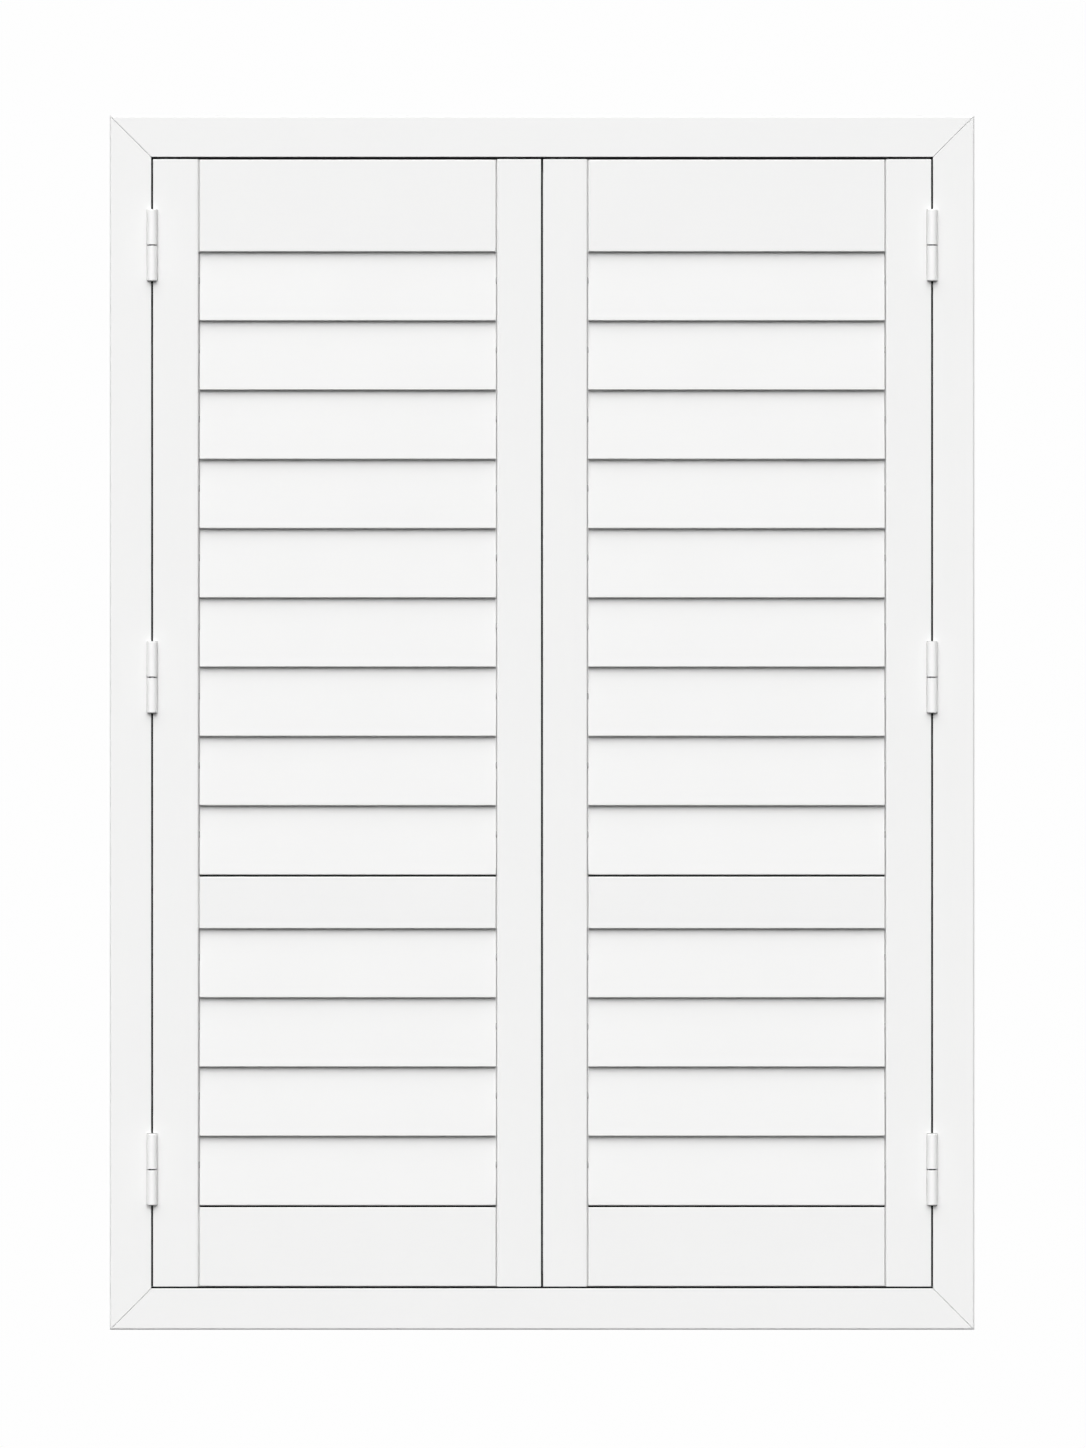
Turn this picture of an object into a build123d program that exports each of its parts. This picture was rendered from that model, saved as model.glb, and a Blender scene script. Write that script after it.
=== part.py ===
from build123d import *
from math import cos, radians, sin
import os

# A pair of louvred shutter panels on lift-off hinges in a mitred timber frame.
# Millimetres, +Z up, +X to the viewer's right, and the room side towards -Y.
# The origin is the centre of the four fixing holes, on the frame's back plane.
# Pieces of the left panel are modelled, and the right panel is their mirror image.

# Frame
frame_width = 951.0
frame_face = 45.5
frame_depth = 60.0
frame_edge_radius = 2.2
frame_inner_edge_radius = 0.6
mitre_ease = 0.3
mitre_groove_depth = 2.0
stop_width = 14.0
stop_clearance = 1.5
stop_edge_radius = 1.0
fixing_radius = 2.5
fixing_head_radius = 4.8
fixing_end_distance = 148.0

# Dovetail keys across the back of the mitres
key_half_length = 9.0
key_half_width = 6.0
key_half_waist = 3.0
key_depth = 20.0

# Gaps around the panels
jamb_gap = 2.0
meeting_gap = 2.3
head_gap = 2.55
sill_gap = 1.85

# Panels
panel_thickness = 26.0
hinge_stile_width = 50.2
meeting_stile_width = 48.8
meeting_bevel = 1.5
stile_edge_radius = 0.6
stile_inner_edge_radius = 2.5
stile_end_ease = 0.5
bead_width = 4.0
bead_height = 0.7
bead_clearance = 0.3
bead_setback = 3.0
top_rail_height = 101.05
mid_rail_height = 56.9
bottom_rail_height = 86.75
rail_end_reveal = 0.5
rail_edge_radius = 1.0
rail_joint_ease = 1.4
rail_joint_depth = 4.0
tenon_thickness = 9.0
tenon_length = 24.0
tenon_shoulder = 6.0

# Louvres
upper_louvres = 9
lower_louvres = 4
louvre_width = 89.0
louvre_thickness = 8.0
louvre_taper_length = 12.5
louvre_taper_drop = 3.0
louvre_taper_radius = 20.0
louvre_edge_radius = 1.0
louvre_overlap = 12.8
louvre_rail_gap = 2.0
louvre_end_gap = 1.0
louvre_axis_depth = 7.6
rest_tilt = 4.8

# Light stops on the rails, before and behind the edges of the nearest louvres
lip_lead = 2.5
tongue_lag = 0.9
tongue_thickness = 5.0
tongue_height = 10.0
rebate_clearance = 3.0

# Louvre pivots
pivot_radius = 2.5
pivot_stile_seat = 15.0
pivot_louvre_reach = 20.0
pivot_collar_radius = 3.6
pivot_collar_thickness = 0.8
pivot_clearance = 0.05
pivot_end_clearance = 0.5

# Tilt bars
bar_width = 10.0
bar_thickness = 3.0
bar_inset = 35.0
bar_end = 8.0
bar_standoff = 6.0
link_offset = 40.0
link_set_back = 1.0
link_width = 8.0
link_radius = 2.0
link_pin_radius = 1.0
link_pin_reach = 4.0
link_pin_clearance = 0.08
notch_side_clearance = 0.5
notch_floor_clearance = 0.5

# Hinges
top_hinge_drop = 94.7
mid_hinge_drop = 569.85
bottom_hinge_rise = 129.2
barrel_radius = 5.75
barrel_height = 78.6
barrel_lead = 2.0
barrel_clearance = 0.5
knuckle_gap = 1.5
hinge_pin_radius = 3.0
hinge_pin_clearance = 0.05
hinge_pin_end_distance = 4.75
hinge_pin_end_clearance = 1.0
hinge_collar_radius = 4.6
hinge_collar_thickness = 1.2
leaf_thickness = 1.5
leaf_width = 24.0
leaf_height = 72.0
barrel_edge_ease = 0.8

# Hinge screws
screw_radius = 1.75
screw_length = 20.0
screw_inset = 14.0
screw_pitch = 26.0
screw_slot_length = 4.0
screw_slot_width = 0.8
screw_slot_depth = 0.7

# Seals
seal_width = 8.0
seal_seat = 2.0
seal_clearance = 0.2
seal_setback = 0.8

# Magnets in the stop and strikes on the panels
magnet_radius = 4.0
magnet_seat = 8.0
magnet_gap = 0.3
magnet_edge_distance = 8.0
strike_radius = 5.0
strike_thickness = 1.2
overrun = 5.0

# Louvre section: a flat blade, tapered on one face at each edge so that the edges overlap
half_width = louvre_width / 2
half_thickness = louvre_thickness / 2
taper_along = half_width - louvre_taper_length
tip_across = half_thickness - louvre_taper_drop
corner_along = half_width - louvre_edge_radius
corner_across = tip_across - louvre_edge_radius
tilt_cos = cos(radians(rest_tilt))
tilt_sin = sin(radians(rest_tilt))
louvre_half_height = corner_along * tilt_cos + corner_across * tilt_sin + louvre_edge_radius
louvre_pitch = louvre_width - louvre_overlap

# Heights, from the bottom of the panel up
upper_run = upper_louvres * louvre_pitch + louvre_rail_gap
lower_run = lower_louvres * louvre_pitch + louvre_rail_gap
rails_height = top_rail_height + mid_rail_height + bottom_rail_height
panel_height = rails_height + upper_run + lower_run + 2 * rail_end_reveal
opening_height = panel_height + head_gap + sill_gap
frame_height = opening_height + 2 * frame_face
opening_low = -opening_height / 2
opening_high = opening_height / 2
panel_low = opening_low + sill_gap
panel_high = panel_low + panel_height
bottom_rail_low = panel_low + rail_end_reveal
bottom_rail_high = bottom_rail_low + bottom_rail_height
mid_rail_low = bottom_rail_high + lower_run
mid_rail_high = mid_rail_low + mid_rail_height
top_rail_low = mid_rail_high + upper_run
top_rail_high = top_rail_low + top_rail_height
first_drop = louvre_pitch - louvre_half_height
upper_axes = [top_rail_low - first_drop - i * louvre_pitch for i in range(upper_louvres)]
lower_axes = [mid_rail_low - first_drop - i * louvre_pitch for i in range(lower_louvres)]
louvre_axes = upper_axes + lower_axes
bead_spans = (
    (mid_rail_high + tongue_height, top_rail_low),
    (bottom_rail_high + tongue_height, mid_rail_low),
)
hinge_heights = (
    panel_high - top_hinge_drop,
    panel_high - mid_hinge_drop,
    panel_low + bottom_hinge_rise,
)

# Depths, from the room side to the back plane
front = -frame_depth
panel_rear = front + panel_thickness
panel_middle = front + panel_thickness / 2
stop_front = panel_rear + stop_clearance
louvre_y = front + louvre_axis_depth
lip_rear = louvre_y - lip_lead
tongue_front = louvre_y + tongue_lag
tongue_rear = tongue_front + tongue_thickness
link_y = louvre_y + link_offset * tilt_sin + link_set_back * tilt_cos
link_rise = link_offset * tilt_cos - link_set_back * tilt_sin
bar_front = link_y + bar_standoff
rebate_height = link_rise + bar_end + rebate_clearance - first_drop

# Widths, on the left panel
opening_width = frame_width - 2 * frame_face
jamb_x = -opening_width / 2
hinge_edge = jamb_x + jamb_gap
meeting_edge = -meeting_gap / 2
hinge_stile_inner = hinge_edge + hinge_stile_width
meeting_stile_inner = meeting_edge - meeting_stile_width
clear_width = meeting_stile_inner - hinge_stile_inner
louvre_start = hinge_stile_inner + louvre_end_gap
louvre_length = clear_width - 2 * louvre_end_gap
bar_x = louvre_start + bar_inset
member_reach = frame_face + stop_width

# Hinge axes and screws
hinge_x = jamb_x + jamb_gap / 2
hinge_y = front - barrel_lead
recess_radius = barrel_radius + barrel_clearance
recess_height = barrel_height + 2 * barrel_clearance
knuckle_height = (barrel_height - knuckle_gap) / 2
hinge_pin_reach = knuckle_height - hinge_pin_end_distance
screw_head_radius = screw_radius + leaf_thickness
screw_y = front + screw_inset
screw_heights = [z + row * screw_pitch for z in hinge_heights for row in (-1, 0, 1)]

# Fixing holes, magnets and tenons
fixing_x = opening_width / 2 - stop_width / 2
fixing_z = frame_height / 2 - fixing_end_distance
magnet_x = meeting_edge - meeting_stile_width / 2
magnet_z = opening_high - magnet_edge_distance
tenon_spans = (
    (top_rail_low + rebate_height + tenon_shoulder, top_rail_high - tenon_shoulder),
    (mid_rail_low + rebate_height + tenon_shoulder, mid_rail_high - tenon_shoulder),
    (bottom_rail_low + tenon_shoulder, bottom_rail_high - tenon_shoulder),
)

# Planes of the frame sections: x runs inward from the outer edge and y runs to the rear
left_plane = Plane(origin=(-frame_width / 2, 0, 0), x_dir=(1, 0, 0), z_dir=(0, 0, 1))
right_plane = Plane(origin=(frame_width / 2, 0, 0), x_dir=(-1, 0, 0), z_dir=(0, 0, -1))
head_plane = Plane(origin=(0, 0, frame_height / 2), x_dir=(0, 0, -1), z_dir=(1, 0, 0))
sill_plane = Plane(origin=(0, 0, -frame_height / 2), x_dir=(0, 0, 1), z_dir=(-1, 0, 0))

os.makedirs("parts", exist_ok=True)

# Section of a louvre, lying flat
with BuildSketch() as louvre_section:
    Polygon(
        (-half_width, half_thickness),
        (taper_along, half_thickness),
        (half_width, tip_across),
        (half_width, -half_thickness),
        (-taper_along, -half_thickness),
        (-half_width, -tip_across),
        align=None,
    )
    tapers = vertices().filter_by(lambda corner: abs(corner.X) < corner_along)
    fillet(tapers, louvre_taper_radius)
    corners = vertices().filter_by(lambda corner: abs(corner.X) > corner_along)
    fillet(corners, louvre_edge_radius)


def save(piece, name):
    """Labels a finished piece and writes it under that name."""
    piece.part.label = name
    export_step(piece.part, f"parts/{name}.step")


def save_pair(piece, name):
    """Writes a piece of the left side and its mirror image for the right side."""
    save(piece, f"left_{name}")
    with BuildPart() as twin:
        mirror(piece.part, about=Plane.YZ)
    save(twin, f"right_{name}")


def key_outlines():
    """Draws a bow tie across each mitre of the frame, seen from the front."""
    x = frame_width / 2 - frame_face / 2
    z = frame_height / 2 - frame_face / 2
    bow_tie = (
        (-key_half_length, -key_half_width),
        (0, -key_half_waist),
        (key_half_length, -key_half_width),
        (key_half_length, key_half_width),
        (0, key_half_waist),
        (-key_half_length, key_half_width),
    )
    for side, end in ((-1, -1), (-1, 1), (1, -1), (1, 1)):
        with Locations((side * x, end * z)):
            Polygon(*bow_tie, rotation=-45 * side * end, align=None)


def screws(face_x, turn, mode):
    """Adds the countersunk screws of one side's hinge leaves, or cuts the holes for them."""
    with Locations(*[Location((face_x, screw_y, z), (0, turn, 0)) for z in screw_heights]):
        Cone(
            screw_head_radius,
            screw_radius,
            leaf_thickness,
            align=(Align.CENTER, Align.CENTER, Align.MIN),
            mode=mode,
        )
        Cylinder(
            screw_radius,
            screw_length,
            align=(Align.CENTER, Align.CENTER, Align.MIN),
            mode=mode,
        )


def screw_slots(face_x):
    """Cuts a cross slot in every screw head of one side."""
    with Locations(*[(face_x, screw_y, z) for z in screw_heights]):
        Box(2 * screw_slot_depth, screw_slot_length, screw_slot_width, mode=Mode.SUBTRACT)
        Box(2 * screw_slot_depth, screw_slot_width, screw_slot_length, mode=Mode.SUBTRACT)


def leaf_pockets(face_x, side):
    """Cuts the mortise of every hinge leaf on one side, open to the front."""
    with Locations(*[(face_x, front - overrun, z) for z in hinge_heights]):
        Box(
            leaf_thickness,
            overrun + leaf_width,
            leaf_height,
            align=(side, Align.MIN, Align.CENTER),
            mode=Mode.SUBTRACT,
        )


def barrel_recesses():
    """Cuts the round recess that every hinge barrel lies in."""
    with Locations(*[(hinge_x, hinge_y, z) for z in hinge_heights]):
        Cylinder(recess_radius, recess_height, mode=Mode.SUBTRACT)


def magnet_cylinders(y, radius, length, mode):
    """Adds or cuts a cylinder at each magnet of the left panel, running to the rear from y."""
    with Locations(*[Location((magnet_x, y, z), (-90, 0, 0)) for z in (-magnet_z, magnet_z)]):
        Cylinder(radius, length, align=(Align.CENTER, Align.CENTER, Align.MIN), mode=mode)


def frame_member(plane, length):
    """A mitred frame member with its stop and seal groove, before its pockets and holes."""
    half = length / 2
    with BuildPart() as member:
        with BuildSketch(plane):
            with BuildLine():
                Polyline(
                    (0, 0),
                    (0, front),
                    (frame_face, front),
                    (frame_face, stop_front),
                    (member_reach, stop_front),
                    (member_reach, 0),
                    close=True,
                )
            make_face()
            fillet(vertices().group_by(Axis.X)[-1], stop_edge_radius)
            fillet(vertices().group_by(Axis.Y)[0].sort_by(Axis.X)[0], frame_edge_radius)
            fillet(vertices().group_by(Axis.Y)[0].sort_by(Axis.X)[-1], frame_inner_edge_radius)
            with Locations((frame_face, front + seal_setback)):
                Rectangle(
                    seal_seat,
                    seal_width,
                    align=(Align.MAX, Align.MIN),
                    mode=Mode.SUBTRACT,
                )
        extrude(amount=half, both=True)
        with BuildSketch(Plane(origin=plane.origin, x_dir=plane.x_dir, z_dir=-plane.y_dir)):
            Polygon(
                (0, -half),
                (member_reach, member_reach - half),
                (member_reach, half - member_reach),
                (0, half),
                align=None,
            )
        extrude(amount=frame_depth, mode=Mode.INTERSECT)
        for end in (-1, 1):
            inward = -(plane.x_dir + plane.z_dir * end)
            corner = plane.origin + plane.z_dir * (end * half) + plane.y_dir * front
            with BuildSketch(Plane(origin=corner, x_dir=inward, z_dir=inward.cross(plane.y_dir))):
                Polygon((0, 0), (mitre_ease, 0), (0, mitre_groove_depth), align=None)
            extrude(amount=2 * member_reach, both=True, mode=Mode.SUBTRACT)
        with BuildSketch(Plane.XZ):
            key_outlines()
        extrude(amount=key_depth, mode=Mode.SUBTRACT)
    return member.part


def stile(outline, face_x, inward):
    """A stile with this outline, with mortises, pivot seats and light beads on one face."""
    with BuildPart() as piece:
        with BuildSketch(Plane.XY.offset(panel_low)):
            with BuildLine():
                Polyline(*outline, close=True)
            make_face()
            fillet(vertices().sort_by_distance((face_x, front))[0], stile_inner_edge_radius)
            fillet(vertices().sort_by_distance((face_x, front))[2:], stile_edge_radius)
        extrude(amount=panel_height)
        chamfer(faces().filter_by(Axis.Z).edges(), stile_end_ease)
        with BuildSketch(Plane.YZ.offset(face_x)):
            with Locations(*[(louvre_y, z) for z in louvre_axes]):
                Circle(pivot_radius)
        extrude(amount=inward * pivot_stile_seat, mode=Mode.SUBTRACT)
        with BuildSketch(Plane.YZ.offset(face_x)):
            for low, high in tenon_spans:
                with Locations((panel_middle, (low + high) / 2)):
                    Rectangle(tenon_thickness, high - low)
        extrude(amount=inward * tenon_length, mode=Mode.SUBTRACT)
        with BuildSketch(Plane.YZ.offset(face_x)):
            for low, high in bead_spans:
                with Locations((louvre_y + bead_setback, (low + high) / 2)):
                    Rectangle(bead_width, high - low)
            with Locations(*[(louvre_y, z) for z in louvre_axes]):
                Circle(pivot_collar_radius + bead_clearance, mode=Mode.SUBTRACT)
        extrude(amount=-inward * bead_height)
    return piece.part


def rail(low, high, tenon_span, lipped, tongued):
    """A rail; a lip covers the louvre below it and a tongue stands behind the louvre above it."""
    lower_edge = [(front, low), (panel_rear, low)]
    if lipped:
        rebate_top = low + rebate_height
        lip = [(lip_rear, low), (lip_rear, rebate_top)]
        lower_edge = [(front, low), *lip, (panel_rear, rebate_top)]
    upper_edge = [(panel_rear, high), (front, high)]
    if tongued:
        tongue_top = high + tongue_height
        tongue_back = [(tongue_rear, high), (tongue_rear, tongue_top)]
        tongue_face = [(tongue_front, tongue_top), (tongue_front, high)]
        upper_edge = [(panel_rear, high), *tongue_back, *tongue_face, (front, high)]
    tenon_low, tenon_high = tenon_span
    with BuildPart() as piece:
        with BuildSketch(Plane.YZ.offset(hinge_stile_inner)):
            with BuildLine():
                Polyline(*lower_edge, *upper_edge, close=True)
            make_face()
            fillet(vertices().group_by(Axis.X)[0], rail_edge_radius)
        extrude(amount=clear_width)
        with BuildSketch(Plane.XY.offset(low)):
            for end_x, inward in ((hinge_stile_inner, 1), (meeting_stile_inner, -1)):
                eased_x = end_x + inward * rail_joint_ease
                Polygon((end_x, front), (eased_x, front), (end_x, front + rail_joint_depth), align=None)
        extrude(amount=high - low, mode=Mode.SUBTRACT)
        with BuildSketch(Plane.YZ.offset(hinge_stile_inner - tenon_length)):
            with Locations((panel_middle, (tenon_low + tenon_high) / 2)):
                Rectangle(tenon_thickness, tenon_high - tenon_low)
        extrude(amount=clear_width + 2 * tenon_length)
    return piece


def louvre(axis_z):
    """A louvre with pivot bores in its ends and a notch for the tilt bar in its rear edge."""
    blade_turn = 90 - rest_tilt
    notch_depth = half_width - link_offset + link_radius + notch_floor_clearance
    with BuildPart() as blade:
        with BuildSketch(Plane.YZ.offset(louvre_start)):
            with Locations(Location((louvre_y, axis_z), blade_turn)):
                add(louvre_section.sketch)
        extrude(amount=louvre_length)
        with BuildSketch(Plane.YZ.offset(louvre_start)):
            with Locations((louvre_y, axis_z)):
                Circle(pivot_radius + pivot_clearance)
        extrude(amount=pivot_louvre_reach + pivot_end_clearance, mode=Mode.SUBTRACT)
        with BuildSketch(Plane.YZ.offset(louvre_start + louvre_length)):
            with Locations((louvre_y, axis_z)):
                Circle(pivot_radius + pivot_clearance)
        extrude(amount=-pivot_louvre_reach - pivot_end_clearance, mode=Mode.SUBTRACT)
        with BuildSketch(Plane.YZ.offset(bar_x)):
            with Locations(Location((louvre_y, axis_z), blade_turn)):
                with Locations((half_width - notch_depth, 0)):
                    Rectangle(
                        notch_depth + overrun,
                        2 * louvre_thickness,
                        align=(Align.MIN, Align.CENTER),
                    )
        extrude(amount=link_width / 2 + notch_side_clearance, both=True, mode=Mode.SUBTRACT)
        with BuildSketch(Plane.YZ.offset(bar_x)):
            with Locations((link_y, axis_z + link_rise)):
                Circle(link_pin_radius + link_pin_clearance)
        extrude(
            amount=link_width / 2 + link_pin_reach + notch_side_clearance,
            both=True,
            mode=Mode.SUBTRACT,
        )
    return blade


def tilt_bar(axes):
    """A bar behind one run of louvres, with a pinned link to each of them."""
    links = [axis_z + link_rise for axis_z in axes]
    bar_low = links[-1] - bar_end
    bar_high = links[0] + bar_end
    with BuildPart() as bar:
        with BuildSketch(Plane.YZ.offset(bar_x)):
            with Locations((bar_front, bar_low)):
                Rectangle(bar_thickness, bar_high - bar_low, align=(Align.MIN, Align.MIN))
        extrude(amount=bar_width / 2, both=True)
        with BuildSketch(Plane.YZ.offset(bar_x)):
            with Locations(*[(link_y, z) for z in links]):
                Circle(link_radius)
                Rectangle(bar_standoff, 2 * link_radius, align=(Align.MIN, Align.CENTER))
        extrude(amount=link_width / 2, both=True)
        with BuildSketch(Plane.YZ.offset(bar_x)):
            with Locations(*[(link_y, z) for z in links]):
                Circle(link_pin_radius)
        extrude(amount=link_width / 2 + link_pin_reach, both=True)
    return bar


def is_barrel_end(height):
    """Whether this height is at the outer end of a hinge barrel, away from the knuckle gap."""
    return any(abs(abs(height - z) - barrel_height / 2) < knuckle_gap for z in hinge_heights)


def hinge_leaves(plate_x, upper, bore_radius, bore_depth):
    """The three leaves of one side; an upper leaf has its knuckle in the barrel's upper half."""
    with BuildPart() as leaves:
        for z in hinge_heights:
            knuckle_low = z + knuckle_gap / 2 if upper else z - barrel_height / 2
            clear_low = z + knuckle_gap / 2 - barrel_height if upper else z - knuckle_gap / 2
            bore_low = knuckle_low if upper else knuckle_low + knuckle_height - bore_depth
            with BuildSketch(Plane.XY.offset(z - leaf_height / 2)):
                with Locations((plate_x, front)):
                    Rectangle(leaf_thickness, leaf_width, align=(Align.MIN, Align.MIN))
            extrude(amount=leaf_height)
            with BuildSketch(Plane.XY.offset(clear_low)):
                with Locations((hinge_x, hinge_y)):
                    Circle(recess_radius)
            extrude(amount=barrel_height, mode=Mode.SUBTRACT)
            with BuildSketch(Plane.XY.offset(knuckle_low)):
                with Locations((hinge_x, hinge_y)):
                    Circle(barrel_radius)
            extrude(amount=knuckle_height)
            with BuildSketch(Plane.XY.offset(bore_low)):
                with Locations((hinge_x, hinge_y)):
                    Circle(bore_radius)
            extrude(amount=bore_depth, mode=Mode.SUBTRACT)
        rims = edges().filter_by(GeomType.CIRCLE)
        rims = rims.filter_by(lambda rim: abs(rim.radius - barrel_radius) < barrel_clearance / 2)
        outer_rims = rims.filter_by(lambda rim: is_barrel_end(rim.center().Z))
        chamfer(outer_rims, barrel_edge_ease)
    return leaves


# Frame head and sill
for name, plane, end in (("frame_head", head_plane, 1), ("frame_sill", sill_plane, -1)):
    blank = frame_member(plane, frame_width)
    with BuildPart() as member:
        add(blank)
        with Locations(
            *[Location((side * magnet_x, stop_front, end * magnet_z), (-90, 0, 0)) for side in (-1, 1)]
        ):
            Cylinder(
                magnet_radius,
                magnet_seat,
                align=(Align.CENTER, Align.CENTER, Align.MIN),
                mode=Mode.SUBTRACT,
            )
    save(member, name)

# Jambs, with hinge mortises, barrel recesses and fixing holes through the stop
jamb_blank = frame_member(left_plane, frame_height)
with BuildPart() as jamb:
    add(jamb_blank)
    leaf_pockets(jamb_x, Align.MAX)
    barrel_recesses()
    screws(jamb_x, -90, Mode.SUBTRACT)
    with Locations(
        *[Plane(origin=(-fixing_x, stop_front, z), z_dir=(0, -1, 0)) for z in (-fixing_z, fixing_z)]
    ):
        CounterSinkHole(fixing_radius, fixing_head_radius, depth=-stop_front, counter_sink_angle=90)
save_pair(jamb, "jamb")

# Keys in the back of the mitres
with BuildPart() as mitre_keys:
    with BuildSketch(Plane.XZ):
        key_outlines()
    extrude(amount=key_depth)
save(mitre_keys, "mitre_keys")

# Perimeter seal, broken at the hinges
jamb_strip = opening_height - 2 * head_gap
with BuildPart() as perimeter_seal:
    for plane, length, gap in (
        (head_plane, opening_width, head_gap),
        (sill_plane, opening_width, sill_gap),
        (left_plane, jamb_strip, jamb_gap),
        (right_plane, jamb_strip, jamb_gap),
    ):
        with BuildSketch(plane):
            with Locations((frame_face - seal_seat, front + seal_setback)):
                Rectangle(
                    seal_seat + gap - seal_clearance,
                    seal_width,
                    align=(Align.MIN, Align.MIN),
                )
        extrude(amount=length / 2, both=True)
    with Locations(*[(side * jamb_x, front, z) for side in (-1, 1) for z in hinge_heights]):
        Box(
            2 * (seal_seat + jamb_gap),
            leaf_width,
            recess_height,
            align=(Align.CENTER, Align.MIN, Align.CENTER),
            mode=Mode.SUBTRACT,
        )
save(perimeter_seal, "perimeter_seal")

# Magnets, a little proud of the stop
magnet_face = panel_rear + magnet_gap
with BuildPart() as left_magnets:
    magnet_cylinders(magnet_face, magnet_radius, stop_front + magnet_seat - magnet_face, Mode.ADD)
with BuildPart() as magnets:
    add(left_magnets.part)
    mirror(left_magnets.part, about=Plane.YZ)
save(magnets, "magnet_catches")

# Hinge leaves, pins and screws
left_frame_leaves = hinge_leaves(jamb_x - leaf_thickness, False, hinge_pin_radius, hinge_pin_reach)
with BuildPart() as left_drilled_leaves:
    add(left_frame_leaves.part)
    screws(jamb_x, -90, Mode.SUBTRACT)
with BuildPart() as frame_leaves:
    add(left_drilled_leaves.part)
    mirror(left_drilled_leaves.part, about=Plane.YZ)
save(frame_leaves, "frame_hinge_leaves")

panel_bore_radius = hinge_pin_radius + hinge_pin_clearance
panel_bore_depth = hinge_pin_reach + hinge_pin_end_clearance
panel_leaf_blanks = hinge_leaves(hinge_edge, True, panel_bore_radius, panel_bore_depth)
with BuildPart() as panel_leaves:
    add(panel_leaf_blanks.part)
    screws(hinge_edge, 90, Mode.SUBTRACT)
save_pair(panel_leaves, "hinge_leaves")

with BuildPart() as left_hinge_pins:
    for z in hinge_heights:
        with BuildSketch(Plane.XY.offset(z)):
            with Locations((hinge_x, hinge_y)):
                Circle(hinge_pin_radius)
        extrude(amount=knuckle_gap / 2 + hinge_pin_reach, both=True)
        with BuildSketch(Plane.XY.offset(z - knuckle_gap / 2)):
            with Locations((hinge_x, hinge_y)):
                Circle(hinge_collar_radius)
        extrude(amount=hinge_collar_thickness)
with BuildPart() as hinge_pins:
    add(left_hinge_pins.part)
    mirror(left_hinge_pins.part, about=Plane.YZ)
save(hinge_pins, "hinge_pins")

with BuildPart() as left_frame_screws:
    screws(jamb_x, -90, Mode.ADD)
    screw_slots(jamb_x)
with BuildPart() as frame_screws:
    add(left_frame_screws.part)
    mirror(left_frame_screws.part, about=Plane.YZ)
save(frame_screws, "frame_hinge_screws")

with BuildPart() as panel_screws:
    screws(hinge_edge, 90, Mode.ADD)
    screw_slots(hinge_edge)
save_pair(panel_screws, "hinge_screws")

# Stiles
hinge_stile_outline = (
    (hinge_edge, front),
    (hinge_stile_inner, front),
    (hinge_stile_inner, panel_rear),
    (hinge_edge, panel_rear),
)
hinge_stile_blank = stile(hinge_stile_outline, hinge_stile_inner, -1)
with BuildPart() as hinge_stile:
    add(hinge_stile_blank)
    leaf_pockets(hinge_edge, Align.MIN)
    barrel_recesses()
    screws(hinge_edge, 90, Mode.SUBTRACT)
save_pair(hinge_stile, "hinge_stile")

meeting_stile_outline = (
    (meeting_stile_inner, front),
    (meeting_edge, front),
    (meeting_edge - meeting_bevel, panel_rear),
    (meeting_stile_inner, panel_rear),
)
meeting_stile_blank = stile(meeting_stile_outline, meeting_stile_inner, 1)
with BuildPart() as plain_meeting_stile:
    add(meeting_stile_blank)
    magnet_cylinders(panel_rear - strike_thickness, strike_radius, strike_thickness, Mode.SUBTRACT)

# The left meeting stile carries the seal, so it alone has a groove
with BuildPart() as left_meeting_stile:
    add(plain_meeting_stile.part)
    with Locations((meeting_edge - seal_seat, front + seal_setback, (panel_low + panel_high) / 2)):
        Box(
            seal_seat + overrun,
            seal_width,
            panel_height,
            align=(Align.MIN, Align.MIN, Align.CENTER),
            mode=Mode.SUBTRACT,
        )
save(left_meeting_stile, "left_meeting_stile")
with BuildPart() as right_meeting_stile:
    mirror(plain_meeting_stile.part, about=Plane.YZ)
save(right_meeting_stile, "right_meeting_stile")

with BuildPart() as meeting_seal:
    with Locations((meeting_edge - seal_seat, front + seal_setback, (panel_low + panel_high) / 2)):
        Box(
            seal_seat + meeting_gap - seal_clearance,
            seal_width,
            panel_height,
            align=(Align.MIN, Align.MIN, Align.CENTER),
        )
save(meeting_seal, "left_meeting_seal")

with BuildPart() as strikes:
    magnet_cylinders(panel_rear - strike_thickness, strike_radius, strike_thickness, Mode.ADD)
save_pair(strikes, "strike_plates")

# Rails
top_tenon, mid_tenon, bottom_tenon = tenon_spans
save_pair(rail(top_rail_low, top_rail_high, top_tenon, True, False), "top_rail")
save_pair(rail(mid_rail_low, mid_rail_high, mid_tenon, True, True), "mid_rail")
save_pair(rail(bottom_rail_low, bottom_rail_high, bottom_tenon, False, True), "bottom_rail")

# Louvre pivots, fixed in the stiles
with BuildPart() as louvre_pins:
    for face_x, inward in ((hinge_stile_inner, 1), (meeting_stile_inner, -1)):
        with BuildSketch(Plane.YZ.offset(face_x - inward * pivot_stile_seat)):
            with Locations(*[(louvre_y, z) for z in louvre_axes]):
                Circle(pivot_radius)
        extrude(amount=inward * (pivot_stile_seat + louvre_end_gap + pivot_louvre_reach))
        with BuildSketch(Plane.YZ.offset(face_x)):
            with Locations(*[(louvre_y, z) for z in louvre_axes]):
                Circle(pivot_collar_radius)
        extrude(amount=inward * pivot_collar_thickness)
save_pair(louvre_pins, "louvre_pins")

# Louvres, numbered from the top
for number, axis_z in enumerate(louvre_axes, start=1):
    save_pair(louvre(axis_z), f"louvre_{number:02d}")

# Tilt bars
save_pair(tilt_bar(upper_axes), "upper_tilt_bar")
save_pair(tilt_bar(lower_axes), "lower_tilt_bar")
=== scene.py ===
"""Dresses a pair of louvred shutters: painted timber, coated hinges, black seals, white studio."""

from __future__ import annotations

import logging
import math
from dataclasses import dataclass
from enum import Enum
from typing import Any

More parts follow.
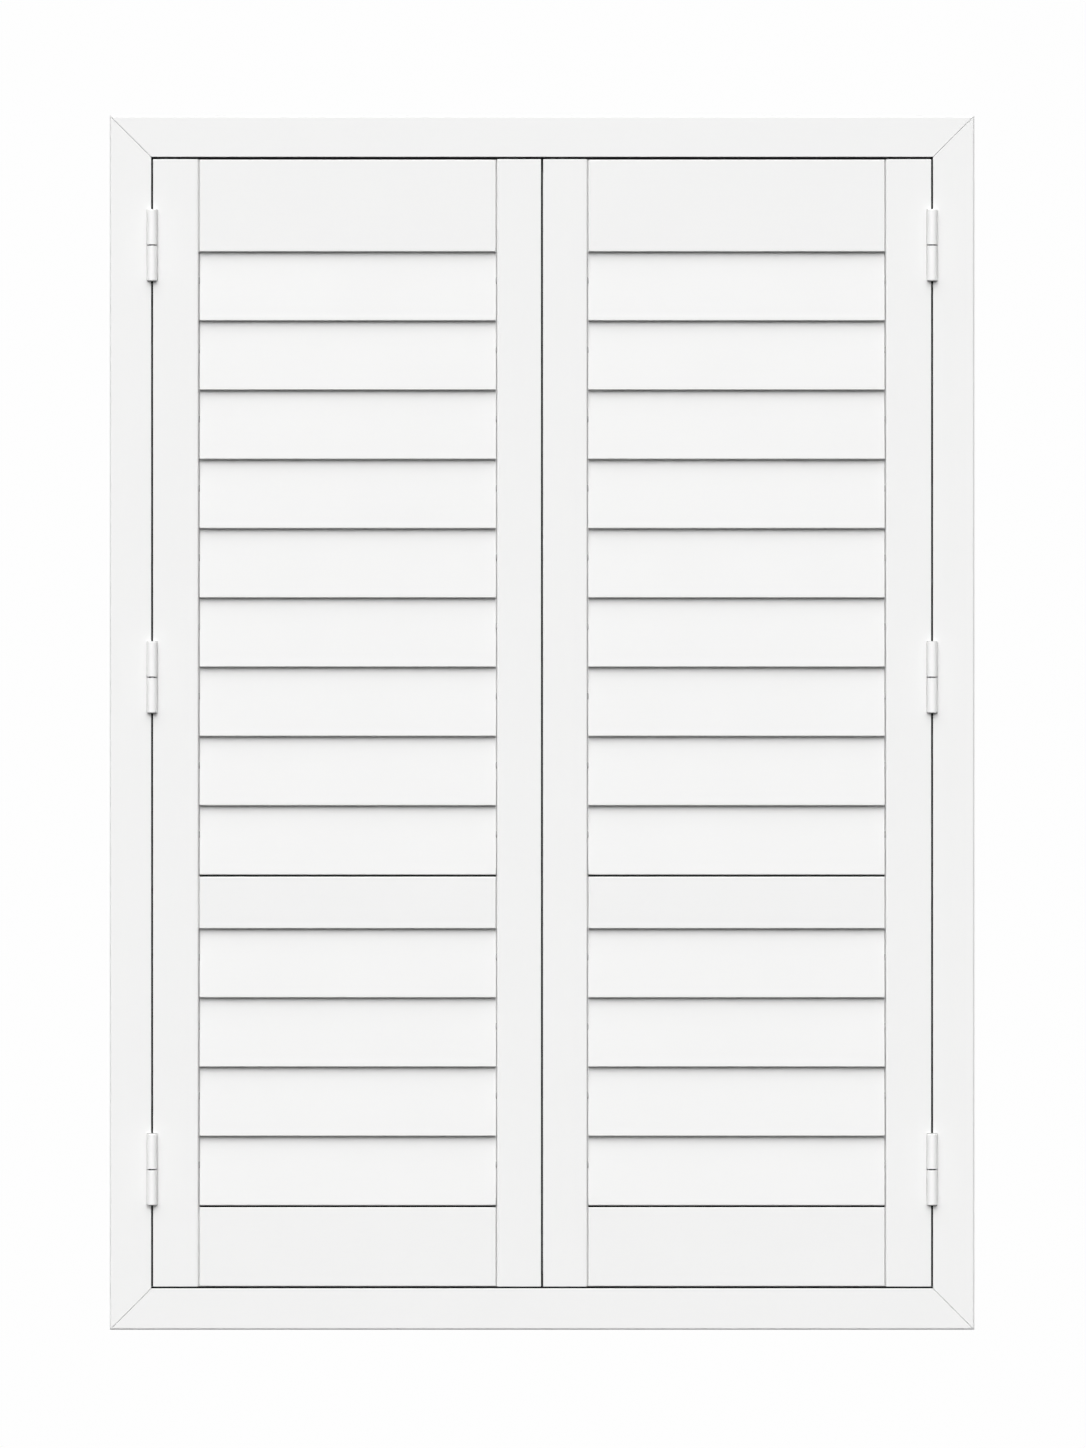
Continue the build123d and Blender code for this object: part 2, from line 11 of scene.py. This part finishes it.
import bpy
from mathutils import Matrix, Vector


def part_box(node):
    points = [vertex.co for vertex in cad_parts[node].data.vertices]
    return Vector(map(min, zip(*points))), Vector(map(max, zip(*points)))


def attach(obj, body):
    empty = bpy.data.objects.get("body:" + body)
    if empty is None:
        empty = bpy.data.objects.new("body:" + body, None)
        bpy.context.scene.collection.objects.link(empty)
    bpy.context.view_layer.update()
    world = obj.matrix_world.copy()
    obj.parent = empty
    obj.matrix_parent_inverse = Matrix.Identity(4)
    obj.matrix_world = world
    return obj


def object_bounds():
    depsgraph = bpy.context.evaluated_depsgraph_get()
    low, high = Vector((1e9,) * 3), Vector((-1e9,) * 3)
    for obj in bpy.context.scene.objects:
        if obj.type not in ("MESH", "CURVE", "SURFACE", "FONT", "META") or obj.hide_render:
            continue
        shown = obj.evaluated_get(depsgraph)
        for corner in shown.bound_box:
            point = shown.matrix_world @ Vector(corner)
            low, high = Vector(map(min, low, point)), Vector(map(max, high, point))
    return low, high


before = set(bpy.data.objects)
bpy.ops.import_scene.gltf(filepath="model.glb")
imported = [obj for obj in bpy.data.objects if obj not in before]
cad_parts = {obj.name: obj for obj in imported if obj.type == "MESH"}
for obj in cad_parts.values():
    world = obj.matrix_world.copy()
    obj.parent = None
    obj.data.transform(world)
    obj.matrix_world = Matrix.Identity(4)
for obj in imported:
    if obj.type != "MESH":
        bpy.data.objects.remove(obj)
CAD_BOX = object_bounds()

log = logging.getLogger("shutters")

MM = 0.001
PHOTO_WIDTH = 1086
PHOTO_HEIGHT = 1448

WHITE = (1.0, 1.0, 1.0, 1.0)
NOISE_MEAN = 0.5

# The colour sockets of a Mix node.
MIX_FIRST = 6
MIX_SECOND = 7
MIX_RESULT = 2

# A box's corners are counted with Z first, then Y, then X.
BOX_FACES = (
    (0, 1, 3, 2),
    (4, 6, 7, 5),
    (0, 4, 5, 1),
    (2, 3, 7, 6),
    (0, 2, 6, 4),
    (1, 5, 7, 3),
)

Colour = tuple[float, float, float]
Triple = tuple[float, float, float]


class Grain(Enum):
    """The direction that a timber piece's grain runs in."""

    ALONG_X = (0.06, 1.0, 1.0)
    ALONG_Z = (1.0, 1.0, 0.06)


class Side(Enum):
    """A side of the frame, as the viewer sees it."""

    LEFT = "left"
    RIGHT = "right"


class Value:
    """A shader socket that can be used in Python arithmetic."""

    def __init__(self, graph: Graph, socket: bpy.types.NodeSocket) -> None:
        """Wraps one output socket.

        Args:
            graph: The graph that new nodes are added to.
            socket: The output socket.
        """
        self.graph = graph
        self.socket = socket

    def _math(self, operation: str, first: Any, second: Any) -> Value:
        """Adds one Math node.

        Args:
            operation: The Math node's operation.
            first: The first operand, a number or a value.
            second: The second operand, a number or a value.

        Returns:
            The result as a value.
        """
        return self.graph.node("ShaderNodeMath", {"operation": operation}, {0: first, 1: second})

    def __add__(self, other: Any) -> Value:
        """Self plus other."""
        return self._math("ADD", self, other)

    def __radd__(self, other: Any) -> Value:
        """Other plus self."""
        return self._math("ADD", other, self)

    def __sub__(self, other: Any) -> Value:
        """Self minus other."""
        return self._math("SUBTRACT", self, other)

    def __rsub__(self, other: Any) -> Value:
        """Other minus self."""
        return self._math("SUBTRACT", other, self)

    def __mul__(self, other: Any) -> Value:
        """Self times other."""
        return self._math("MULTIPLY", self, other)

    def __rmul__(self, other: Any) -> Value:
        """Other times self."""
        return self._math("MULTIPLY", other, self)

    def __neg__(self) -> Value:
        """Minus self."""
        return self._math("MULTIPLY", self, -1.0)

    def clipped(self) -> Value:
        """Self, held between 0 and 1."""
        return self.graph.node("ShaderNodeClamp", inputs={"Value": self})


class Graph:
    """The node tree of one material or world, with its nodes added by type."""

    def __init__(self, tree: bpy.types.NodeTree) -> None:
        """Empties a node tree.

        Args:
            tree: The tree to fill.
        """
        self.tree = tree
        tree.nodes.clear()

    def node(
        self,
        kind: str,
        settings: dict[str, Any] | None = None,
        inputs: dict[Any, Any] | None = None,
        output: Any = 0,
    ) -> Value:
        """Adds a node, sets it up and links it.

        Args:
            kind: The node's type name.
            settings: Attributes that are set first.
            inputs: Numbers, colours or values, by socket name or place.
            output: The name or place of the output that is wanted.

        Returns:
            That output as a value.
        """
        made = self.tree.nodes.new(kind)
        for name, setting in (settings or {}).items():
            setattr(made, name, setting)
        for key, given in (inputs or {}).items():
            if isinstance(given, Value):
                self.tree.links.new(given.socket, made.inputs[key])
            else:
                made.inputs[key].default_value = given
        if not made.outputs:
            return Value(self, None)
        return Value(self, made.outputs[output])

    def place(self, stretch: Triple = (1.0, 1.0, 1.0)) -> Value:
        """The point on the piece, in metres, scaled along each axis.

        Args:
            stretch: The scale along X, Y and Z.

        Returns:
            The scaled point as a value.
        """
        point = self.node("ShaderNodeTexCoord", output="Object")
        return self.node("ShaderNodeMapping", inputs={"Vector": point, "Scale": stretch})

    def noise(self, point: Value, size: float, detail: float = 2.0, rough: float = 0.5) -> Value:
        """Smooth noise with features of a given size.

        Args:
            point: Where it is read.
            size: The features' size in metres.
            detail: The number of finer octaves.
            rough: How strong the finer octaves are.

        Returns:
            A value around one half.
        """
        inputs = {"Vector": point, "Scale": 1.0 / size, "Detail": detail, "Roughness": rough}
        return self.node("ShaderNodeTexNoise", inputs=inputs)

    def tint(self, factor: Value, first: Colour, second: Colour) -> Value:
        """Mixes two colours.

        Args:
            factor: 0 for the first colour and 1 for the second.
            first: The first colour.
            second: The second colour.

        Returns:
            The mixed colour as a value.
        """
        settings = {"data_type": "RGBA"}
        inputs = {"Factor": factor, MIX_FIRST: (*first, 1.0), MIX_SECOND: (*second, 1.0)}
        return self.node("ShaderNodeMix", settings, inputs, output=MIX_RESULT)

    def bump(self, height: Value, distance: float) -> Value:
        """A normal from a height.

        Args:
            height: The height, from 0 to 1.
            distance: What a height of 1 measures, in metres.

        Returns:
            The normal as a value.
        """
        inputs = {"Height": height, "Distance": distance, "Strength": 1.0}
        return self.node("ShaderNodeBump", inputs=inputs)

    def surface(self, inputs: dict[str, Any]) -> None:
        """Ends the graph in one surface shader.

        Args:
            inputs: Numbers, colours or values for the shader's sockets.
        """
        shader = self.node("ShaderNodeBsdfPrincipled", inputs=inputs)
        self.node("ShaderNodeOutputMaterial", inputs={"Surface": shader})


class Finish:
    """A finish that makes its own material once and gives it to pieces."""

    name: str

    def fill(self, graph: Graph) -> None:
        """Builds the finish's nodes.

        Args:
            graph: The material's empty graph.
        """
        raise NotImplementedError

    def material(self) -> bpy.types.Material:
        """The finish's material, made on first use.

        Returns:
            The material.
        """
        made = bpy.data.materials.get(self.name)
        if made is None:
            made = bpy.data.materials.new(self.name)
            made.use_nodes = True
            self.fill(Graph(made.node_tree))
        return made

    def dress(self, piece: bpy.types.Object) -> None:
        """Gives the finish to a piece.

        Args:
            piece: The piece to dress.
        """
        piece.data.materials.clear()
        piece.data.materials.append(self.material())


@dataclass(frozen=True)
class PaintedTimber(Finish):
    """Sprayed satin paint over fine-grained timber."""

    name: str
    grain: Grain
    light: Colour = (0.80, 0.80, 0.797)
    dark: Colour = (0.775, 0.775, 0.772)
    gloss: float = 0.42
    grain_size: float = 2.2 * MM
    peel_size: float = 1.1 * MM
    cloud_size: float = 90 * MM
    grain_tone_share: float = 0.35
    grain_relief_share: float = 0.3
    peel_gloss: float = 0.12
    cloud_gloss: float = 0.10
    relief: float = 0.012 * MM
    specular: float = 0.2

    def fill(self, graph: Graph) -> None:
        """Builds paint with faint grain, orange peel and slow clouds of tone.

        Args:
            graph: The material's empty graph.
        """
        along = graph.place(self.grain.value)
        point = graph.place()
        grain = graph.noise(along, self.grain_size, detail=3.0, rough=0.6)
        peel = graph.noise(point, self.peel_size, detail=1.0)
        cloud = graph.noise(point, self.cloud_size, detail=2.0)
        tone = (1.0 - self.grain_tone_share) * cloud + self.grain_tone_share * grain
        height = (1.0 - self.grain_relief_share) * peel + self.grain_relief_share * grain
        shine = self.peel_gloss * (peel - NOISE_MEAN) + self.cloud_gloss * (cloud - NOISE_MEAN)
        graph.surface(
            {
                "Base Color": graph.tint(tone, self.light, self.dark),
                "Roughness": self.gloss + shine,
                "Normal": graph.bump(height, self.relief),
                "Specular IOR Level": self.specular,
            }
        )


@dataclass(frozen=True)
class PowderCoat(Finish):
    """Baked powder paint with a fine stipple."""

    name: str
    light: Colour
    dark: Colour
    gloss: float = 0.36
    stipple_size: float = 0.45 * MM
    cloud_size: float = 14 * MM
    stipple_gloss: float = 0.16
    relief: float = 0.02 * MM
    specular: float = 0.5

    def fill(self, graph: Graph) -> None:
        """Builds the stipple and a slow change of tone.

        Args:
            graph: The material's empty graph.
        """
        point = graph.place()
        stipple = graph.noise(point, self.stipple_size, detail=1.0)
        cloud = graph.noise(point, self.cloud_size)
        graph.surface(
            {
                "Base Color": graph.tint(cloud, self.light, self.dark),
                "Roughness": self.gloss + self.stipple_gloss * (stipple - NOISE_MEAN),
                "Normal": graph.bump(stipple, self.relief),
                "Specular IOR Level": self.specular,
            }
        )


@dataclass(frozen=True)
class PlatedSteel(Finish):
    """Plated steel with fine turning marks and dull patches."""

    name: str
    light: Colour
    dark: Colour
    gloss: float = 0.3
    mark_size: float = 0.18 * MM
    patch_size: float = 5 * MM
    mark_stretch: Triple = (0.1, 1.0, 1.0)
    patch_gloss: float = 0.25
    mark_gloss: float = 0.1
    relief: float = 0.01 * MM

    def fill(self, graph: Graph) -> None:
        """Builds the marks and the patches.

        Args:
            graph: The material's empty graph.
        """
        point = graph.place()
        marks = graph.noise(graph.place(self.mark_stretch), self.mark_size, detail=2.0)
        patch = graph.noise(point, self.patch_size, detail=3.0)
        shine = self.patch_gloss * (patch - NOISE_MEAN) + self.mark_gloss * (marks - NOISE_MEAN)
        graph.surface(
            {
                "Base Color": graph.tint(patch, self.light, self.dark),
                "Metallic": 1.0,
                "Roughness": self.gloss + shine,
                "Normal": graph.bump(marks, self.relief),
            }
        )


@dataclass(frozen=True)
class MouldedPlastic(Finish):
    """Moulded plastic with a spark-eroded skin."""

    name: str
    light: Colour
    dark: Colour
    gloss: float = 0.5
    skin_size: float = 0.3 * MM
    flow_size: float = 8 * MM
    skin_gloss: float = 0.2
    relief: float = 0.015 * MM

    def fill(self, graph: Graph) -> None:
        """Builds the skin and faint flow marks.

        Args:
            graph: The material's empty graph.
        """
        point = graph.place()
        skin = graph.noise(point, self.skin_size, detail=1.0)
        flow = graph.noise(point, self.flow_size, detail=3.0, rough=0.6)
        graph.surface(
            {
                "Base Color": graph.tint(flow, self.light, self.dark),
                "Roughness": self.gloss + self.skin_gloss * (skin - NOISE_MEAN),
                "Normal": graph.bump(skin, self.relief),
            }
        )


@dataclass(frozen=True)
class WovenPile(Finish):
    """Short black pile on a woven backing; on the rail tongues its black also serves as painted
    shade.
    """

    name: str
    light: Colour = (0.012, 0.012, 0.013)
    dark: Colour = (0.003, 0.003, 0.003)
    tuft_size: float = 0.25 * MM
    lean_size: float = 4 * MM
    dullness: float = 0.9
    lean_gloss: float = 0.1
    relief: float = 0.2 * MM
    specular: float = 0.1

    def fill(self, graph: Graph) -> None:
        """Builds the tufts and the way that they lean.

        Args:
            graph: The material's empty graph.
        """
        point = graph.place()
        tufts = graph.noise(point, self.tuft_size, detail=2.0, rough=0.7)
        lean = graph.noise(point, self.lean_size)
        graph.surface(
            {
                "Base Color": graph.tint(tufts, self.dark, self.light),
                "Roughness": self.dullness + self.lean_gloss * lean,
                "Normal": graph.bump(tufts, self.relief),
                "Specular IOR Level": self.specular,
            }
        )


FRAME_UPRIGHT = PaintedTimber("frame_paint_upright", Grain.ALONG_Z)
FRAME_ACROSS = PaintedTimber("frame_paint_across", Grain.ALONG_X)
PANEL_UPRIGHT = PaintedTimber("panel_paint_upright", Grain.ALONG_Z)
PANEL_ACROSS = PaintedTimber("panel_paint_across", Grain.ALONG_X)
# Painted shade: the louvres get a darker copy of the frame's white paint, to tone down how
# brightly the light falls on them.
SHADED_LOUVRE_PAINT = PaintedTimber(
    "louvre_paint_shaded", Grain.ALONG_X, (0.762, 0.762, 0.759), (0.737, 0.737, 0.734)
)
HINGE_COAT = PowderCoat("hinge_powder_coat", (0.86, 0.86, 0.857), (0.83, 0.83, 0.826))
BAR_COAT = PowderCoat("bar_powder_coat", (0.78, 0.785, 0.79), (0.74, 0.745, 0.75), gloss=0.4)
ZINC = PlatedSteel("screw_zinc", (0.72, 0.72, 0.70), (0.55, 0.56, 0.58))
# Painted shade: the pin steel is made dark so the pin's collar in the knuckle gap shows as a dark
# line, as if in shadow.
SHADED_PIN_STEEL = PlatedSteel("pin_steel_shaded", (0.34, 0.34, 0.35), (0.24, 0.24, 0.25), gloss=0.25)
NICKEL = PlatedSteel("magnet_nickel", (0.66, 0.64, 0.60), (0.50, 0.48, 0.45), gloss=0.22)
NYLON = MouldedPlastic("pivot_nylon", (0.30, 0.30, 0.30), (0.24, 0.24, 0.24))
BLACK_PLASTIC = MouldedPlastic("key_plastic", (0.035, 0.035, 0.037), (0.02, 0.02, 0.021))
# Black pile: the seals' own colour, and on the rail-tongue strips a black that paints the shade in
# the gaps under the lowest louvres.
BLACK_PILE_AND_SHADE = WovenPile("seal_pile_and_shade")


def dress_node(name: str, finish: Finish) -> None:
    """Gives a CAD node its finish.

    Args:
        name: The node's name.
        finish: The finish.
    """
    finish.dress(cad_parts[name])
    log.info("%s: %s", name, finish.name)


@dataclass
class ShutterFrame:
    """The mitred frame with its seal, catches, keys and its half of the hinges."""

    seal: str = "perimeter_seal"

    def dress(self) -> None:
        """Gives every piece of the frame its finish."""
        for name in ("frame_head", "frame_sill"):
            dress_node(name, FRAME_ACROSS)
        for side in Side:
            dress_node(f"{side.value}_jamb", FRAME_UPRIGHT)
        dress_node(self.seal, BLACK_PILE_AND_SHADE)
        dress_node("mitre_keys", BLACK_PLASTIC)
        dress_node("magnet_catches", NICKEL)
        dress_node("frame_hinge_leaves", HINGE_COAT)
        dress_node("frame_hinge_screws", ZINC)
        dress_node("hinge_pins", SHADED_PIN_STEEL)


@dataclass
class LightSealShadeStrip:
    """Black pile on the tongue of a rail, behind the lowest louvre of a run: a light-block strip
    whose black paints the shade in the gap under that louvre.
    """

    side: Side
    rail: str
    tongue_height: float = 10.0 * MM
    tongue_setback: float = 8.5 * MM
    pile: float = 0.6 * MM
    margin: float = 0.5 * MM

    def build(self) -> None:
        """Adds the strip between the stiles, on the front of the tongue."""
        rail_low, rail_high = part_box(f"{self.side.value}_{self.rail}")
        louvre_low, louvre_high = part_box(f"{self.side.value}_louvre_01")
        rear = rail_low.y + self.tongue_setback
        xs = (louvre_low.x, louvre_high.x)
        ys = (rear - self.pile, rear)
        zs = (rail_high.z - self.tongue_height, rail_high.z - self.margin)
        corners = [(x, y, z) for x in xs for y in ys for z in zs]
        name = f"{self.side.value}_{self.rail}_light_seal"
        mesh = bpy.data.meshes.new(name)
        mesh.from_pydata(corners, [], BOX_FACES)
        strip = bpy.data.objects.new(name, mesh)
        bpy.context.scene.collection.objects.link(strip)
        BLACK_PILE_AND_SHADE.dress(strip)
        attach(strip, f"{self.side.value}_panel")
        log.info("%s: %s", name, BLACK_PILE_AND_SHADE.name)


@dataclass
class ShutterPanel:
    """One panel with its stiles, rails, louvres, tilt bars and its half of the hinges."""

    side: Side
    louvres: int = 13

    def node(self, name: str) -> str:
        """The full name of one of this panel's nodes."""
        return f"{self.side.value}_{name}"

    def dress(self) -> None:
        """Gives every piece of the panel its finish."""
        for name in ("hinge_stile", "meeting_stile"):
            dress_node(self.node(name), PANEL_UPRIGHT)
        for name in ("top_rail", "mid_rail", "bottom_rail"):
            dress_node(self.node(name), PANEL_ACROSS)
        for number in range(1, self.louvres + 1):
            dress_node(self.node(f"louvre_{number:02d}"), SHADED_LOUVRE_PAINT)
        for name in ("upper_tilt_bar", "lower_tilt_bar"):
            dress_node(self.node(name), BAR_COAT)
        dress_node(self.node("louvre_pins"), NYLON)
        dress_node(self.node("strike_plates"), ZINC)
        dress_node(self.node("hinge_leaves"), HINGE_COAT)
        dress_node(self.node("hinge_screws"), ZINC)
        if self.side is Side.LEFT:
            dress_node(self.node("meeting_seal"), BLACK_PILE_AND_SHADE)
        # Black strips on the rail tongues: light seals whose black paints the shade in the gap
        # under each run's lowest louvre.
        for name in ("mid_rail", "bottom_rail"):
            LightSealShadeStrip(self.side, name).build()


@dataclass(frozen=True)
class Softbox:
    """A square lamp with a white front, aimed at the middle of the shutters."""

    name: str
    place: Triple
    size: float
    power: float

    def build(self, aim: Vector) -> None:
        """Adds the lamp.

        Args:
            aim: The point that it faces.
        """
        data = bpy.data.lights.new(self.name, "AREA")
        data.shape = "SQUARE"
        data.size = self.size
        data.energy = self.power
        lamp = bpy.data.objects.new(self.name, data)
        lamp.location = self.place
        lamp.visible_camera = False
        lamp.rotation_mode = "QUATERNION"
        lamp.rotation_quaternion = (aim - Vector(self.place)).to_track_quat("-Z", "Y")
        bpy.context.scene.collection.objects.link(lamp)
        log.info("lamp: %s", self.name)


@dataclass
class Studio:
    """A white studio: dome, pale floor, soft light and the camera in front of the shutters."""

    scale: float = 1.1 * MM
    camera_distance: float = 10.0
    sensor: float = 36.0
    centre_px: tuple[float, float] = (542.1, 722.65)
    floor_drop: float = 0.9
    floor_radius: float = 2.8
    dome_radius: float = 40.0
    sky_level: float = 2.14
    ground_level: float = 0.22
    rear_level: float = 1.6
    side_fade: float = 4.0
    side_loss: float = 1.0
    sky_start: float = 0.09
    sky_full: float = 0.37
    key_level: float = 3.31
    key_spread: float = 45.0
    key_place: Triple = (-0.219, -0.819, 0.530)
    dome_glow: float = 0.99
    floor_corners: int = 128
    floor_speckle: float = 6 * MM
    floor_light: Colour = (0.86, 0.86, 0.86)
    floor_dark: Colour = (0.82, 0.82, 0.82)
    floor_roughness: float = 0.8
    softbox: Softbox = Softbox("side_softbox", (-6.0, -6.0, 2.2), 2.5, 20.0)

    def build(self, low: Vector, high: Vector) -> None:
        """Adds all that stands around the shutters.

        Args:
            low: The lowest corner of the shutters.
            high: The highest corner of the shutters.
        """
        middle = (low + high) / 2
        self._colours()
        self._sky()
        self._dome(middle)
        self._floor(low)
        self._camera()
        self.softbox.build(middle)

    def _colours(self) -> None:
        """Shows colours as they are, with no film curve."""
        scene = bpy.context.scene
        scene.view_settings.view_transform = "Standard"
        scene.view_settings.look = "None"

    def _sky(self) -> None:
        """Lights the front with a wide key light and an upper sky, and the back evenly."""
        world = bpy.data.worlds.new("studio_light")
        world.use_nodes = True
        graph = Graph(world.node_tree)
        direction = graph.node("ShaderNodeTexCoord", output="Generated")
        across, rear, up = (
            graph.node("ShaderNodeSeparateXYZ", inputs={0: direction}, output=axis)
            for axis in "XYZ"
        )
        facing = 1.0 - self.side_loss * across * across
        front = (-rear * self.side_fade).clipped() * facing * facing
        high = ((up - self.sky_start) * (1.0 / (self.sky_full - self.sky_start))).clipped()
        edge = math.cos(math.radians(self.key_spread))
        towards = graph.node(
            "ShaderNodeVectorMath",
            {"operation": "DOT_PRODUCT"},
            {0: direction, 1: self.key_place},
            output="Value",
        )
        key = self.key_level * facing * ((towards - edge) * (1.0 / (1.0 - edge))).clipped()
        above = high * (self.sky_level * front + key)
        behind = rear.clipped()
        level = above + self.ground_level * front + self.rear_level * behind * behind
        light = graph.node("ShaderNodeBackground", inputs={"Color": WHITE, "Strength": level})
        graph.node("ShaderNodeOutputWorld", inputs={"Surface": light})
        bpy.context.scene.world = world

    def _dome(self, middle: Vector) -> None:
        """Adds the white backdrop all round, which lights nothing.

        Args:
            middle: The dome's centre.
        """
        bpy.ops.mesh.primitive_uv_sphere_add(radius=self.dome_radius, location=middle)
        dome = bpy.context.object
        dome.name = "studio_dome"
        dome.visible_diffuse = dome.visible_glossy = dome.visible_transmission = False
        dome.visible_shadow = False
        material = bpy.data.materials.new("dome_white")
        material.use_nodes = True
        graph = Graph(material.node_tree)
        inputs = {"Color": WHITE, "Strength": self.dome_glow}
        glow = graph.node("ShaderNodeEmission", inputs=inputs)
        graph.node("ShaderNodeOutputMaterial", inputs={"Surface": glow})
        dome.data.materials.append(material)

    def _floor(self, low: Vector) -> None:
        """Adds a pale round floor below the shutters, at a window's height.

        Args:
            low: The lowest corner of the shutters.
        """
        bpy.ops.mesh.primitive_circle_add(
            vertices=self.floor_corners,
            radius=self.floor_radius,
            fill_type="NGON",
            location=(0, 0, low.z - self.floor_drop),
        )
        floor = bpy.context.object
        floor.name = "studio_floor"
        floor.visible_diffuse = floor.visible_glossy = floor.visible_shadow = False
        material = bpy.data.materials.new("floor_pale")
        material.use_nodes = True
        graph = Graph(material.node_tree)
        speckle = graph.noise(graph.place(), self.floor_speckle)
        colour = graph.tint(speckle, self.floor_light, self.floor_dark)
        graph.surface({"Base Color": colour, "Roughness": self.floor_roughness})
        floor.data.materials.append(material)

    def _camera(self) -> None:
        """Adds the camera level with the shutters, square to them."""
        low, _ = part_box("left_jamb")
        face = low.y
        height = PHOTO_HEIGHT * self.scale
        # The sensor's width spans the longer side of the picture, which is its height.
        data = bpy.data.cameras.new("camera")
        data.sensor_width = self.sensor
        data.lens = self.sensor * self.camera_distance / height
        camera = bpy.data.objects.new("camera", data)
        across = (PHOTO_WIDTH / 2 - self.centre_px[0]) * self.scale
        up = (self.centre_px[1] - PHOTO_HEIGHT / 2) * self.scale
        camera.location = (across, face - self.camera_distance, up)
        camera.rotation_euler = (math.pi / 2, 0, 0)
        bpy.context.scene.collection.objects.link(camera)
        bpy.context.scene.camera = camera


def main() -> None:
    """Dresses the frame and both panels, then sets up the studio."""
    logging.basicConfig(level=logging.INFO, format="%(message)s")
    ShutterFrame().dress()
    for side in Side:
        ShutterPanel(side).dress()
    Studio().build(*CAD_BOX)


if __name__ == "__main__":
    main()
